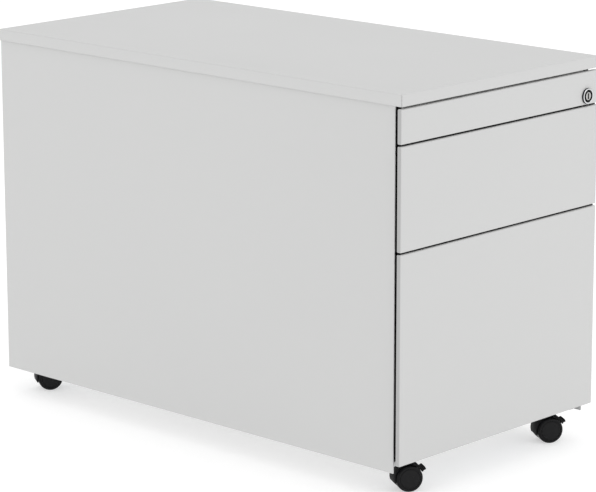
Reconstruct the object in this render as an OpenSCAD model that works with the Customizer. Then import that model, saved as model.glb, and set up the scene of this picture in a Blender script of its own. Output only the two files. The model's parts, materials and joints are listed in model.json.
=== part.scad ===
/* [Cabinet] */
// Overall width across the top cover and the drawer fronts
cab_w = 420; // [414:1:520]
// Depth from the face of the drawer fronts to the back of the top cover
cab_d = 800; // [600:1:960]
// Overall height from the floor to the top
cab_h = 563; // [520:1:720]
// Sheet steel thickness
sheet = 1; // [0.7:0.1:1.5]

/* [Top cover] */
// Height of the folded rim of the top cover
cover_h = 17; // [14:1:30]
// Width of the rim's return flange at the sides and the back
cover_return = 16; // [8:1:18]
// How far the side panels stand in from the edge of the cover
side_inset = 4; // [2:0.5:8]
// Width of the stiffening channels under the top plate
stiffener_w = 50; // [30:5:80]
// Weld flange of the stiffening channels
stiffener_flange = 12; // [8:1:20]

/* [Carcass] */
// How far the side panels reach below the casters' mounting face
skirt = 9; // [4:1:12]
// Front edge of the side panels behind the face of the drawer fronts
front_setback = 15; // [13:1:20]
// Back of the side panels in front of the back of the cover
back_inset = 1; // [0:0.5:4]
// Depth of the hem along the front edge of the side panels
hem_d = 12; // [8:1:16]
// Width of the flanges that join the back panel to the side panels
back_flange = 16; // [10:1:20]
// Width of the foot folded inwards along both sides of the bottom panel
foot_flange = 10; // [6:1:14]
// Depth of the uprights that carry the slides
upright_d = 20; // [18:1:26]
// Width of the uprights along the side panel
upright_w = 30; // [20:1:50]
// Height of the cross rail over the pencil drawer
top_rail_h = 8; // [6:1:9]
// Depth of the cross rail over the pencil drawer
top_rail_d = 24; // [20:1:40]
// Thickness of the bars that carry the casters
beam_t = 2.5; // [2:0.5:4]
// Width of the bars that carry the casters
beam_w = 60; // [50:2:80]
// Height of the counterweight behind the file drawer
weight_h = 110; // [60:5:160]
// Thickness of the counterweight
weight_t = 45; // [30:1:60]
// Gap between the counterweight and the file drawer
weight_gap = 9; // [4:1:40]

/* [Finger grips] */
// Depth of the black grip channel in the side panel's front edge
grip_d = 16; // [12:1:18]
// Width of the black grip channel
grip_w = 11; // [10:0.5:13]
// Wall of the black grip channel
grip_wall = 1.2; // [0.8:0.1:1.6]

/* [Drawer fronts] */
// Gap above each drawer front
front_gap = 3; // [2:0.5:5]
// Height of the pencil drawer's front
pencil_front_h = 47; // [45:1:60]
// Height of the box drawer's front
box_front_h = 143; // [115:1:180]
// Bottom edge of the file drawer's front above the side panels' bottom edge
front_lift = 13; // [12:1:16]
// Depth of the folds around each drawer front
front_fold = 8.5; // [6:0.5:9]
// Width of the hollow that the fingers reach behind each side fold
grip_hollow = 16; // [12:1:18]

/* [Drawers] */
// Height of the box and file drawers' slides
slide_h = 45; // [40:1:53]
// Width of the slides
slide_w = 13; // [12.5:0.1:16]
// Steel of the slide members
slide_t = 1.2; // [1:0.1:1.5]
// Height of the pencil drawer's slides
pencil_slide_h = 24; // [22:1:27]
// How far the pencil drawer pulls out
pencil_travel = 330; // [200:10:340]
// Length of the pencil drawer's slides that stays engaged when it is open
pencil_overlap = 120; // [80:10:140]
// Top of the pencil drawer's sides below the top of its front
pencil_side_drop = 13; // [10:1:14]
// Top of the box drawer's sides below the top of its front
box_side_drop = 35; // [25:1:45]
// Top of the file drawer's sides below the top of its front
file_side_drop = 45; // [38:1:90]
// Height of the hanging-file rails
rail_h = 19; // [14:1:26]
// Thickness of the hanging-file rails
rail_t = 2; // [1.5:0.5:3]
// Spacing of the hanging-file rails, centre to centre
rail_pitch = 332; // [326:1:334]
// Top of the cross dividers below the top of the box drawer's sides
divider_drop = 19; // [5:1:40]
// Number of cross dividers in the box drawer
divider_count = 2; // [1:1:4]
// Front-to-back size of the pencil tray
tray_d = 200; // [150:5:260]
// Height of the pencil tray
tray_h = 20; // [16:1:24]

/* [Lock] */
// Lock centre in from the right edge of the inner front
lock_inset = 10; // [9:0.5:10.5]
// Lock centre above the bottom edge of the pencil drawer's front
lock_rise = 12.5; // [11.5:0.5:14]
// How far the lock stands out of the front
lock_proud = 3; // [2:0.5:5]
// Diameter of the lock's collar, the part that stands out
lock_collar_d = 22.5; // [17:0.5:23]
// Diameter of the lock's barrel
lock_barrel_d = 16; // [14:0.5:16]
// Diameter of the plug that the key turns
lock_plug_d = 11; // [9:0.5:12]
// Length of the barrel behind the face of the front
lock_len = 26; // [24:0.5:28]
// Radius at which the cam's pin turns
cam_r = 5; // [4:0.5:5]
// Diameter of the cam's pin and of the drawers' catch pins
pin_d = 4; // [3:0.5:4]
// Front-to-back size of the lock bar
bar_w = 14; // [12:0.5:15]
// Thickness of the lock bar
bar_t = 2; // [1.5:0.5:2.5]

/* [Casters] */
// Wheel diameter
wheel_d = 38; // [32:0.1:46]
// Mounting face of the casters above the top of the wheels
caster_rise = 12; // [11:1:16]
// Wheel width
wheel_w = 11; // [9:0.5:12]
// Width of the hood's web between the two wheels
web_w = 9; // [8:0.5:12]
// Distance from the swivel axis to the wheels' axle
trail = 6.5; // [6:0.5:12]
// Axle diameter
axle_d = 5; // [4:0.5:6]
// Kingpin diameter
kingpin_d = 6; // [5:0.5:6]
// Swivel axes in from the side edges of the top cover
swivel_side = 56; // [50:1:70]
// Front swivel axes behind the face of the drawer fronts
swivel_front = 44; // [36:1:50]
// Rear swivel axes in front of the back of the cover
swivel_rear = 24; // [23:1:50]
// Direction in which the wheels trail, from the cabinet's right, at rest
caster_heading = -31; // [-180:1:180]
// Side of the square mounting plate
plate_side = 42; // [40:1:46]
// Spacing of the mounting screws
screw_pitch = 30; // [28:1:32]

/* [Hidden] */
$fn = 48;

// Gap between pieces that move past each other
clear = 0.5;
// Radial clearance of a shaft that turns in a hole
run_clear = 0.05;
// Extra length of every cutting solid, so that no cut ends flush with a face
cut = 1;

// Planes of the cabinet; the origin is on the floor, at the middle of everything with the lock
half_w = cab_w / 2;
caster_h = wheel_d + caster_rise;
floor_clear = caster_h - skirt;
front_y = (lock_proud - cab_d) / 2;
rear_y = front_y + cab_d;
cover_z = cab_h - cover_h;
side_x = half_w - side_inset;
skin_x = side_x - sheet;
hem_x = side_x - 2 * sheet;
edge_y = front_y + front_setback;
back_y = rear_y - back_inset;
deck_z = caster_h + beam_t;
deck_top = deck_z + sheet;
deck_lip = 4;
lip_gap = 1;
weight_inset = 6;
weight_back = back_y - 2 * sheet;
weight_front = weight_back - weight_t;

// Drawer fronts, from the top down
fold_y = front_y + front_fold;
pencil_top = cover_z - front_gap;
pencil_bottom = pencil_top - pencil_front_h;
box_top = pencil_bottom - front_gap;
box_bottom = box_top - box_front_h;
file_top = box_bottom - front_gap;
file_bottom = floor_clear + front_lift;
inner_half = half_w - grip_hollow;

// Depths of the lock, its cam, its bar and the uprights, each behind the one before
plug_reach = 2;
cam_t = 2;
cam_gap = 1;
tab_t = 2;
pin_reach = 2;
catch_inset = 7.5;
bar_gap = 2;
slide_gap = 2.5;
lock_back = front_y + lock_len;
plug_back = lock_back + plug_reach;
bar_y = plug_back + cam_t + cam_gap;
cam_pin_end = bar_y + tab_t + pin_reach;
catch_y = bar_y + catch_inset;
upright_front = bar_y + bar_w + bar_gap;

// Slides, between the uprights and the drawers' sides; lengths run back from their front ends
upright_x = skin_x - upright_d;
upright_t = 1.2;
tub_half = upright_x - slide_w;
slide_y = catch_y + pin_d / 2 + slide_gap;
tub_back = weight_front - weight_gap;
slide_len = tub_back - slide_y;
pencil_slide_len = pencil_travel + pencil_overlap;
pencil_tub_back = slide_y + pencil_slide_len;
race = 2.5;
slide_lip = 3;
member_gap = 0.8;
member_end = 3;
middle_start = 2.6;
middle_web = slide_w / 2 - slide_t / 4;
inner_reach = middle_web - member_gap;
pencil_inner_reach = slide_w - member_end;

// Drawer tubs
pencil_tub_gap = 6;
tub_gap = 8;
tub_hem = 8;
hem_half = tub_half - 2 * sheet;
pencil_tub_z = pencil_bottom + pencil_tub_gap;
box_tub_z = box_bottom + tub_gap;
file_tub_z = file_bottom + tub_gap;
pencil_side_h = pencil_top - pencil_side_drop - pencil_tub_z;
box_side_h = box_top - box_side_drop - box_tub_z;
file_side_h = file_top - file_side_drop - file_tub_z;
pencil_slide_rise = 2;
box_slide_rise = 12;
file_slide_rise = 60;
pencil_slide_z = pencil_tub_z + pencil_slide_rise + pencil_slide_h / 2;
box_slide_z = box_tub_z + box_slide_rise + slide_h / 2;
file_slide_z = file_tub_z + file_slide_rise + slide_h / 2;
rail_lift = 2;
rail_z = file_tub_z + file_side_h + rail_lift;
divider_foot = 15;

// Pencil tray: rows of compartments as [front-to-back share, number across]
tray_rows = [[0.25, 1], [0.33, 2], [0.42, 3]];
tray_wall = 2;
tray_half = hem_half - clear;
tray_gap = 1;
tray_y = fold_y + tray_gap;

// Lock, its cam and its bar
lock_x = inner_half - lock_inset;
lock_z = pencil_bottom + lock_rise;
plug_sunk = 0.3;
keyway_w = 1.8;
keyway_h = 7.2;
keyway_d = 18;
nut_side = 18;
nut_t = 3;
cam_start = -45;
cam_lift = 2 * cam_r * sin(-cam_start);
cam_pin_x = lock_x + cam_r * cos(cam_start);
cam_pin_z = lock_z + cam_r * sin(cam_start);
cam_d = pin_d + 2;
bar_x = hem_x - grip_w - clear - bar_t;
bar_end = 14;
tab_gap = 1;
tab_x = tub_half + pencil_inner_reach + tab_gap;
tab_h = 12;
slot_clear = 0.4;
slot_half = pin_d / 2 + slot_clear;
catch_t = 1.5;
catch_side = 14;
catch_pin_short = 0.2;
pencil_catch_drop = 6;
catch_drop = 8;
pencil_catch_z = pencil_tub_z + pencil_side_h - pencil_catch_drop;
box_catch_z = box_tub_z + box_side_h - catch_drop;
file_catch_z = file_tub_z + file_side_h - catch_drop;
guide_h = 16;
guide_overlap = 5;
guide_wall = 2;
guide_clear = 0.3;

// Casters; angles are around the axle, from the direction in which the wheels trail
swivel_x = half_w - swivel_side;
wheel_r = wheel_d / 2;
wheel_gap = 0.7;
wheel_in = web_w / 2 + wheel_gap;
wheel_out = wheel_in + wheel_w;
wheel_shoulder = 2.4;
wheel_dish = 0.5;
wheel_rim = 4;
wheel_chamfer = 0.8;
wheel_bore_spare = 0.2;
axle_end = 1.4;
axle_half = wheel_out - axle_end;
plate_t = 2;
kingpin_len = 18;
boss_r = 11;
boss_gap = 1.4;
boss_bottom = wheel_d + boss_gap;
boss_top = caster_h - plate_t - clear;
neck_half = 7;
neck_rise = 4;
web_inset = 2;
hood_gap = 1.2;
hood_t = 2.2;
hood_in = wheel_r + hood_gap;
hood_out = hood_in + hood_t;
hood_start = 70;
hood_end = 200;
screw_d = 4.9;
screw_head_d = 8;
screw_head_h = 2.6;
plate_hole_d = screw_d + 0.3;
deck_hole_d = screw_d + 1.1;
lever_angle = 62;
lever_pin_r = 1;
lever_eye_r = 2;
lever_half = 12.6;
toe_half = 9;
toe_start = 27;
toe_end = 36;
toe_h = 7;
toe_out = hood_in + toe_h;
ear_y = 14.5;
ear_t = 3;
ear_end = 80;
lever_r = (hood_in + hood_out) / 2;
lever_x = trail + lever_r * cos(lever_angle);
lever_z = wheel_r + lever_r * sin(lever_angle);
swivels = [
    [-swivel_x, front_y + swivel_front],
    [swivel_x, front_y + swivel_front],
    [-swivel_x, rear_y - swivel_rear],
    [swivel_x, rear_y - swivel_rear]
];
screw_spots = [for (x = [-1, 1], y = [-1, 1]) [x, y] * screw_pitch / 2];

// Colours
steel_grey = [0.80, 0.80, 0.79];
zinc = [0.72, 0.74, 0.76];
black = [0.05, 0.05, 0.055];
chrome = [0.85, 0.86, 0.88];
iron_grey = [0.25, 0.25, 0.26];

// A block given by its two ends on each axis
module block(x0, x1, y0, y1, z0, z1) {
    translate([x0, y0, z0]) cube([x1 - x0, y1 - y0, z1 - z0]);
}

// Draws its children for the right side (1) or mirrored for the left side (-1)
module on_side(side) {
    mirror([side > 0 ? 0 : 1, 0, 0]) children();
}

module both_sides() {
    for (side = [-1, 1]) on_side(side) children();
}

// Extrudes an outline drawn in x and z from y0 to y1
module along_y(y0, y1) {
    translate([0, y1, 0]) rotate([90, 0, 0]) linear_extrude(y1 - y0) children();
}

// Extrudes an outline drawn in y and z from x0 to x1
module along_x(x0, x1) {
    translate([x0, 0, 0]) rotate([90, 0, 90]) linear_extrude(x1 - x0) children();
}

module pin_y(x, z, y0, y1, d) {
    translate([x, y0, z]) rotate([-90, 0, 0]) cylinder(d = d, h = y1 - y0);
}

module pin_x(y, z, x0, x1, d) {
    translate([x0, y, z]) rotate([0, 90, 0]) cylinder(d = d, h = x1 - x0);
}

// Points of an arc of radius r from angle a0 to a1
function arc(r, a0, a1, steps = 16) =
    [for (i = [0:steps]) let (a = a0 + (a1 - a0) * i / steps) [cos(a), sin(a)] * r];

// ---------------------------------------------------------------- top

module top_cover() color(steel_grey) difference() {
    block(-half_w, half_w, front_y, rear_y, cover_z, cab_h);
    block(-half_w + sheet, half_w - sheet, front_y + sheet, rear_y - sheet, cover_z + sheet, cab_h - sheet);
    block(-half_w + cover_return, half_w - cover_return, edge_y + hem_d, rear_y - cover_return,
        cover_z - cut, cover_z + sheet + cut);
}

// Channel outline, open upwards, with a weld flange at each lip
module hat_outline(w, h, flange, t) {
    translate([-w / 2, 0]) square([w, t]);
    for (s = [-1, 1]) {
        translate([s * (w / 2 - t / 2) - t / 2, 0]) square([t, h]);
        translate([s * (w / 2 + flange / 2) - flange / 2, h - t]) square([flange, t]);
    }
}

module top_stiffeners() color(steel_grey) {
    stiffener_h = cover_h - 3 * sheet - clear;
    for (k = [1, 2]) translate([0, front_y + cab_d * k / 3, cab_h - sheet - stiffener_h])
        along_x(-half_w + cover_return + sheet, half_w - cover_return - sheet)
            hat_outline(stiffener_w, stiffener_h, stiffener_flange, sheet);
}

// ---------------------------------------------------------------- carcass

// Plain sheet, folded flat on itself along the front edge
module side_panel(side) color(steel_grey) on_side(side) {
    block(skin_x, side_x, edge_y, back_y, floor_clear, cover_z);
    block(hem_x, skin_x, edge_y, edge_y + hem_d, floor_clear, cover_z);
}

module back_panel() color(steel_grey) {
    block(-skin_x, skin_x, back_y - sheet, back_y, deck_top, cover_z);
    both_sides() block(hem_x, skin_x, back_y - sheet - back_flange, back_y - sheet, deck_top, cover_z);
}

module bottom_panel() color(steel_grey) difference() {
    y0 = edge_y + hem_d;
    union() {
        block(-skin_x, skin_x, y0, back_y, deck_z, deck_top);
        block(-hem_x, hem_x, edge_y, y0, deck_z, deck_top);
        block(-hem_x, hem_x, edge_y, edge_y + sheet, caster_h + lip_gap, deck_top + deck_lip);
        both_sides() {
            block(hem_x, skin_x, y0, back_y, floor_clear, deck_z);
            block(hem_x - foot_flange, hem_x, y0, back_y, floor_clear, floor_clear + sheet);
        }
    }
    for (s = swivels, p = screw_spots) translate([s.x + p.x, s.y + p.y, deck_z - cut])
        cylinder(d = deck_hole_d, h = sheet + 2 * cut);
}

module front_top_rail() color(steel_grey) {
    rail_x = hem_x - grip_w;
    for (z = [cover_z - sheet, cover_z - top_rail_h])
        block(-rail_x, rail_x, edge_y + sheet, edge_y + top_rail_d, z, z + sheet);
    block(-rail_x, rail_x, edge_y, edge_y + sheet, cover_z - top_rail_h, cover_z);
}

module upright(y) {
    both_sides() {
        block(upright_x, upright_x + upright_t, y, y + upright_w, deck_top, cover_z);
        for (end = [y, y + upright_w - upright_t])
            block(upright_x + upright_t, skin_x, end, end + upright_t, deck_top, cover_z);
    }
}

// Three to a side: behind the lock bar, and near the rear ends of the short and the long slides
module slide_uprights() color(steel_grey) {
    upright(upright_front);
    for (end = [pencil_tub_back, tub_back]) upright(end - 3 * upright_w / 2);
}

module grip_channel(side) color(black) on_side(side) {
    z0 = deck_top + deck_lip;
    z1 = cover_z;
    x1 = hem_x;
    x0 = x1 - grip_w;
    block(x0, x0 + grip_wall, edge_y, edge_y + grip_d, z0, z1);
    block(x1 - grip_wall, x1, edge_y, edge_y + grip_d, z0, z1);
    block(x0, x1, edge_y + grip_d - grip_wall, edge_y + grip_d, z0, z1);
}

module caster_beams() color(zinc) difference() {
    for (y = [edge_y + sheet + clear, back_y - clear - beam_w])
        block(-hem_x + clear, hem_x - clear, y, y + beam_w, caster_h, deck_z);
    for (s = swivels, p = screw_spots) translate([s.x + p.x, s.y + p.y, caster_h - cut])
        cylinder(d = screw_d + 2 * run_clear, h = beam_t + 2 * cut);
}

module counterweight() color(iron_grey) {
    weight_half = tub_half - weight_inset;
    z0 = deck_top + sheet;
    block(-weight_half, weight_half, weight_front, weight_back, z0, z0 + weight_h);
}

// Two slotted blocks on the front upright, between the catches, that the bar slides up in
module lock_bar_guides() color(zinc) {
    y0 = bar_y + bar_w - guide_overlap;
    for (z = [(pencil_bottom + box_catch_z) / 2, (box_bottom + file_catch_z) / 2 + guide_h]) {
        z0 = z - guide_h / 2;
        z1 = z + guide_h / 2;
        difference() {
            block(bar_x - guide_wall, bar_x + bar_t + guide_wall, y0, upright_front, z0, z1);
            block(bar_x - guide_clear, bar_x + bar_t + guide_clear, y0 - cut, bar_y + bar_w + guide_clear,
                z0 - cut, z1 + cut);
        }
    }
}

// ---------------------------------------------------------------- slides

// Outer member: a channel open towards the drawer, with turned lips
module outer_outline(h) {
    translate([slide_w - slide_t, -h / 2]) square([slide_t, h]);
    for (s = [-1, 1]) {
        translate([clear, s * (h - slide_t) / 2 - slide_t / 2]) square([slide_w - clear, slide_t]);
        translate([clear, s * (h - slide_lip) / 2 - slide_lip / 2]) square([slide_t, slide_lip]);
    }
}

// Middle member: a web with a flange at each end
module middle_outline(h) {
    translate([middle_web, -h / 2]) square([slide_t, h]);
    for (s = [-1, 1]) translate([middle_start, s * (h - slide_t) / 2 - slide_t / 2])
        square([slide_w - member_end - middle_start, slide_t]);
}

// Inner member: a channel open away from the drawer
module inner_outline(h, reach) {
    translate([0, -h / 2]) square([slide_t, h]);
    for (s = [-1, 1]) translate([0, s * (h - slide_t) / 2 - slide_t / 2]) square([reach, slide_t]);
}

// Height of a member that runs inside others, with a race for the balls at each edge
function member_h(h, level) = h - 2 * level * (slide_t + race);

module slide_pair(z, len) {
    both_sides() translate([tub_half, 0, z]) along_y(slide_y, slide_y + len) children();
}

module outer_members(z, len, h) color(zinc) slide_pair(z, len) outer_outline(h);
module middle_members(z, len, h) color(zinc) slide_pair(z, len) middle_outline(member_h(h, 1));
module inner_members(z, len, h, level, reach) color(zinc)
    slide_pair(z, len) inner_outline(member_h(h, level), reach);

// ---------------------------------------------------------------- drawers

// Front panel: a shallow pan, folded back all round
module front_pan(z0, z1) difference() {
    block(-half_w, half_w, front_y, fold_y, z0, z1);
    block(-half_w + sheet, half_w - sheet, front_y + sheet, fold_y + cut, z0 + sheet, z1 - sheet);
}

// Panel that closes the pan, short of the sides so that fingers reach behind the side folds
module inner_front(z0, z1) {
    block(-inner_half, inner_half, fold_y - sheet, fold_y, z0 + sheet, z1 - sheet);
    both_sides()
        block(inner_half - sheet, inner_half, front_y + sheet, fold_y - sheet, z0 + sheet, z1 - sheet);
}

// Bottom and sides of a drawer, folded from one sheet, with a flat hem along each top edge
module tub(z, h, y1) {
    block(-tub_half, tub_half, fold_y, y1, z, z + sheet);
    both_sides() {
        block(tub_half - sheet, tub_half, fold_y, y1, z + sheet, z + h);
        block(hem_half, tub_half - sheet, fold_y, y1, z + h - tub_hem, z + h);
    }
}

module tub_back_panel(z, h, y1) {
    block(-hem_half, hem_half, y1 - sheet, y1, z + sheet, z + h);
}

// Bracket on the right side of a drawer, with the pin that the lock bar holds
module catch_bracket(z) color(zinc) {
    block(tub_half, tub_half + catch_t, catch_y - catch_side / 2, catch_y + pin_d / 2,
        z - catch_side / 2, z + catch_side / 2);
    pin_x(catch_y, z, tub_half + catch_t, bar_x + bar_t - catch_pin_short, pin_d);
}

module pencil_front() color(steel_grey) difference() {
    front_pan(pencil_bottom, pencil_top);
    pin_y(lock_x, lock_z, front_y - cut, front_y + 2 * sheet, lock_barrel_d);
}

module pencil_inner_front() color(steel_grey) difference() {
    inner_front(pencil_bottom, pencil_top);
    pin_y(lock_x, lock_z, fold_y - 2 * sheet, fold_y + cut, lock_barrel_d);
}

module pencil_drawer_tub() color(steel_grey) {
    tub(pencil_tub_z, pencil_side_h, pencil_tub_back);
    tub_back_panel(pencil_tub_z, pencil_side_h, pencil_tub_back);
}

function tray_row_start(k) = k == 0 ? 0 : tray_row_start(k - 1) + tray_rows[k - 1][0];

// Insert with rows of open compartments
module pencil_tray() color(black) difference() {
    z0 = pencil_tub_z + sheet;
    block(-tray_half, tray_half, tray_y, tray_y + tray_d, z0, z0 + tray_h);
    for (k = [0:len(tray_rows) - 1]) {
        across = tray_rows[k][1];
        y0 = tray_y + tray_wall + tray_row_start(k) * (tray_d - tray_wall);
        depth = tray_rows[k][0] * (tray_d - tray_wall) - tray_wall;
        pitch = (2 * tray_half - tray_wall) / across;
        for (i = [0:across - 1]) {
            x0 = -tray_half + tray_wall + i * pitch;
            block(x0, x0 + pitch - tray_wall, y0, y0 + depth, z0 + tray_wall, z0 + tray_h + cut);
        }
    }
}

module box_front() color(steel_grey) front_pan(box_bottom, box_top);
module box_inner_front() color(steel_grey) inner_front(box_bottom, box_top);
module box_drawer_tub() color(steel_grey) tub(box_tub_z, box_side_h, tub_back);
module box_drawer_back() color(steel_grey) tub_back_panel(box_tub_z, box_side_h, tub_back);

module box_dividers() color(steel_grey) {
    z0 = box_tub_z + sheet;
    half = hem_half - clear;
    pitch = (tub_back - fold_y) / (divider_count + 1);
    for (k = [1:divider_count]) {
        y = fold_y + k * pitch;
        block(-half, half, y, y + sheet, z0 + sheet, box_tub_z + box_side_h - divider_drop);
        block(-half, half, y, y + divider_foot, z0, z0 + sheet);
    }
}

module file_front() color(steel_grey) front_pan(file_bottom, file_top);
module file_inner_front() color(steel_grey) inner_front(file_bottom, file_top);
module file_drawer_tub() color(steel_grey) tub(file_tub_z, file_side_h, tub_back);

module file_drawer_back() color(steel_grey) {
    tub_back_panel(file_tub_z, file_side_h + rail_lift + rail_h, tub_back);
}

module hanging_rails() color(zinc) both_sides() {
    x0 = (rail_pitch - rail_t) / 2;
    block(x0 - rail_t / 2, x0 + rail_t / 2, fold_y, tub_back - sheet, rail_z, rail_z + rail_h);
}

// ---------------------------------------------------------------- lock

module lock_housing() color(chrome) difference() {
    union() {
        pin_y(lock_x, lock_z, front_y - lock_proud, front_y, lock_collar_d);
        pin_y(lock_x, lock_z, front_y, lock_back, lock_barrel_d);
    }
    pin_y(lock_x, lock_z, front_y - lock_proud - cut, lock_back + cut, lock_plug_d + 2 * run_clear);
}

// Spring nut that holds the housing against the back of the inner front
module lock_nut() color(zinc) difference() {
    block(lock_x - nut_side / 2, lock_x + nut_side / 2, fold_y, fold_y + nut_t,
        lock_z - nut_side / 2, lock_z + nut_side / 2);
    pin_y(lock_x, lock_z, fold_y - cut, fold_y + nut_t + cut, lock_barrel_d);
}

module lock_plug() color(chrome) difference() {
    pin_y(lock_x, lock_z, front_y - lock_proud + plug_sunk, plug_back, lock_plug_d);
    block(lock_x - keyway_w / 2, lock_x + keyway_w / 2, front_y - lock_proud - cut, front_y + keyway_d,
        lock_z - keyway_h / 2, lock_z + keyway_h / 2);
}

// Arm on the end of the plug, with the pin that lifts the bar
module lock_cam() color(zinc) {
    pin_y(lock_x, lock_z, plug_back, plug_back + cam_t, lock_plug_d - 1);
    translate([lock_x, plug_back, lock_z]) rotate([0, -cam_start, 0])
        translate([0, 0, -cam_d / 2]) cube([cam_r, cam_t, cam_d]);
    pin_y(cam_pin_x, cam_pin_z, plug_back, plug_back + cam_t, cam_d);
    pin_y(cam_pin_x, cam_pin_z, plug_back + cam_t, cam_pin_end, pin_d);
}

// Entry slot from the bar's front edge, with a leg that the catch pin sits in when the bar is up
module catch_slot(z) {
    x0 = bar_x - cut;
    x1 = bar_x + bar_t + cut;
    block(x0, x1, bar_y - cut, catch_y + slot_half, z - slot_half, z + slot_half);
    block(x0, x1, catch_y - slot_half, catch_y + slot_half, z - slot_half - cam_lift, z);
}

module lock_bar() color(zinc) difference() {
    union() {
        block(bar_x, bar_x + bar_t, bar_y, bar_y + bar_w, file_catch_z - cam_lift - bar_end,
            pencil_catch_z + slot_half + slide_gap);
        block(tab_x, bar_x, bar_y, bar_y + tab_t, cam_pin_z - tab_h / 2, cam_pin_z + tab_h / 2);
    }
    for (z = [pencil_catch_z, box_catch_z, file_catch_z]) catch_slot(z);
    block(cam_pin_x - slot_half, lock_x + cam_r + slot_half, bar_y - cut, cam_pin_end + clear,
        cam_pin_z - slot_half, cam_pin_z + slot_half);
}

// ---------------------------------------------------------------- casters

// Draws its children in a caster's own frame: swivel axis at the origin, wheels trailing along x
module at_caster(i) {
    translate([swivels[i].x, swivels[i].y, 0]) rotate(caster_heading) children();
}

module caster_plates() color(zinc) for (s = swivels) translate([s.x, s.y, caster_h - plate_t]) {
    difference() {
        translate([-plate_side / 2, -plate_side / 2, 0]) cube([plate_side, plate_side, plate_t]);
        for (p = screw_spots) translate([p.x, p.y, -cut]) cylinder(d = plate_hole_d, h = plate_t + 2 * cut);
    }
    translate([0, 0, -kingpin_len]) cylinder(d = kingpin_d, h = kingpin_len);
}

module caster_screws() color(zinc) for (s = swivels, p = screw_spots)
    translate([s.x + p.x, s.y + p.y, caster_h - plate_t]) {
        translate([0, 0, -screw_head_h]) cylinder(d = screw_head_d, h = screw_head_h);
        cylinder(d = screw_d, h = plate_t + beam_t);
    }

// Draws its children about the axle, turned so that z runs along it
module on_axle() {
    translate([trail, 0, wheel_r]) rotate([90, 0, 0]) children();
}

// Part of a ring around the axle, between two radii and two angles, to either side of the middle
module fender(r0, r1, a0, a1, half_width, steps = 16) {
    on_axle() translate([0, 0, -half_width]) linear_extrude(2 * half_width)
        polygon(concat(arc(r1, a0, a1, steps), arc(r0, a1, a0, steps)));
}

// Rod across the caster at the brake lever's hinge
module lever_rod(r, half_width) {
    translate([lever_x, 0, lever_z]) rotate([90, 0, 0]) cylinder(r = r, h = 2 * half_width, center = true);
}

// Two ears on the hood, with the pin between them that the brake lever turns on
module lever_ears() {
    for (s = [-1, 1]) translate([0, s * ear_y, 0]) {
        lever_rod(lever_eye_r, ear_t / 2);
        fender(hood_in, hood_out, lever_angle, ear_end, ear_t / 2, 6);
    }
    lever_rod(lever_pin_r, ear_y - ear_t / 4);
}

// Hood: a fender over the front and top of the wheels, a web between them and the kingpin's boss;
// the axle is a rod of its own in the web's bore
module hood(i, braked) color(black) at_caster(i) {
    difference() {
        union() {
            fender(hood_in, hood_out, hood_start, hood_end, wheel_out);
            on_axle() translate([0, 0, -web_w / 2]) cylinder(r = wheel_r - web_inset, h = web_w);
            block(-neck_half, neck_half, -web_w / 2, web_w / 2, wheel_r + neck_rise, boss_bottom + cut);
            translate([0, 0, boss_bottom]) cylinder(r = boss_r, h = boss_top - boss_bottom);
            if (braked) lever_ears();
        }
        translate([0, 0, caster_h - plate_t - kingpin_len - clear])
            cylinder(d = kingpin_d + 2 * run_clear, h = kingpin_len + clear);
        on_axle() cylinder(d = axle_d + 2 * run_clear, h = web_w + 2 * cut, center = true);
    }
    on_axle() cylinder(d = axle_d, h = 2 * axle_half, center = true);
}

// Pedal behind the wheels: a curved shoe on the ears' pin, with a toe that stands out
module brake_lever(i) color(black) at_caster(i) difference() {
    union() {
        fender(hood_in, hood_out, toe_start, lever_angle, lever_half);
        fender(hood_in, toe_out, toe_start, toe_end, toe_half, 4);
        lever_rod(lever_eye_r, lever_half);
    }
    lever_rod(lever_pin_r + run_clear, lever_half + cut);
}

// Wheel with a rounded shoulder, a dished outer face and a blind bore; side -1 is the left wheel
module wheel(i, side) color(black) at_caster(i) translate([trail, 0, wheel_r])
    rotate([side > 0 ? -90 : 90, 0, 0]) translate([0, 0, wheel_in]) difference() {
        shoulder = [wheel_r - wheel_shoulder, wheel_w - wheel_shoulder];
        rotate_extrude() polygon(concat(
            [[0, 0], [wheel_r - wheel_chamfer, 0], [wheel_r, wheel_chamfer]],
            [for (p = arc(wheel_shoulder, 0, 90, 6)) shoulder + p],
            [[wheel_r - wheel_rim, wheel_w], [wheel_r - wheel_rim - wheel_dish, wheel_w - wheel_dish],
                [0, wheel_w - wheel_dish]]));
        translate([0, 0, -cut]) cylinder(d = axle_d + 2 * run_clear, h = axle_half - wheel_in + wheel_bore_spare + cut);
    }

// ---------------------------------------------------------------- nodes

top_cover();
top_stiffeners();
side_panel(-1);  // left_side_panel
side_panel(1);  // right_side_panel
back_panel();
bottom_panel();
front_top_rail();
slide_uprights();
grip_channel(-1);  // left_grip_channel
grip_channel(1);  // right_grip_channel
caster_beams();
counterweight();
lock_bar_guides();
outer_members(pencil_slide_z, pencil_slide_len, pencil_slide_h);  // pencil_slide_outers
outer_members(box_slide_z, slide_len, slide_h);  // box_slide_outers
outer_members(file_slide_z, slide_len, slide_h);  // file_slide_outers
middle_members(box_slide_z, slide_len, slide_h);  // box_slide_middles
middle_members(file_slide_z, slide_len, slide_h);  // file_slide_middles
pencil_front();
pencil_inner_front();
pencil_drawer_tub();
pencil_tray();
inner_members(pencil_slide_z, pencil_slide_len, pencil_slide_h, 1, pencil_inner_reach);  // pencil_slide_inners
catch_bracket(pencil_catch_z);  // pencil_catch
lock_housing();
lock_nut();
lock_plug();
lock_cam();
lock_bar();
box_front();
box_inner_front();
box_drawer_tub();
box_drawer_back();
box_dividers();
inner_members(box_slide_z, slide_len, slide_h, 2, inner_reach);  // box_slide_inners
catch_bracket(box_catch_z);  // box_catch
file_front();
file_inner_front();
file_drawer_tub();
file_drawer_back();
hanging_rails();
inner_members(file_slide_z, slide_len, slide_h, 2, inner_reach);  // file_slide_inners
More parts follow.
